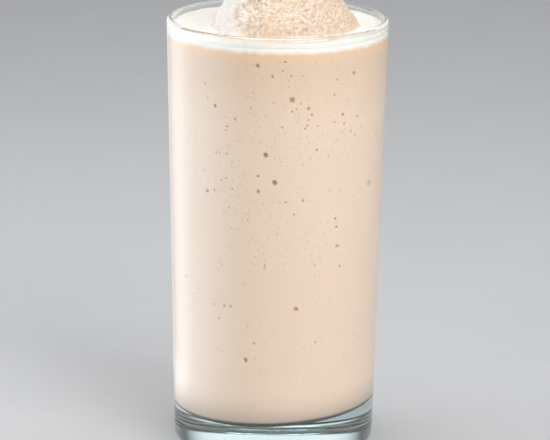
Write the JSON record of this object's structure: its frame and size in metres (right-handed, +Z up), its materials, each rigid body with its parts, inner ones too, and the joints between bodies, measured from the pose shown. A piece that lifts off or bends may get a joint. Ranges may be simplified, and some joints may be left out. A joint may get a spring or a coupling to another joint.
{
  "type": "vanilla milkshake",
  "caption": "Tall, slightly tapered clear glass tumbler with a heavy base, filled to the brim with a pale beige milkshake, a thin white foam layer and a heap of coarse froth.",
  "frame": {"origin": "middle of the glass's underside, on the table", "axes": "+Z up along the glass's axis; the pictured front faces -Y and its right side faces +X"},
  "size_m": [0.072, 0.072, 0.1615],
  "materials": {
    "clear_glass": "clear polished soda-lime glass",
    "milkshake": "thick pale beige liquid with small air bubbles against the glass",
    "white_foam": "fine white foam",
    "froth": "coarse, damp, icy froth"
  },
  "bodies": {
    "root": {"glass": "clear_glass", "milkshake": "milkshake", "foam": "white_foam", "froth_heap": "froth"}
  },
  "joints": []
}
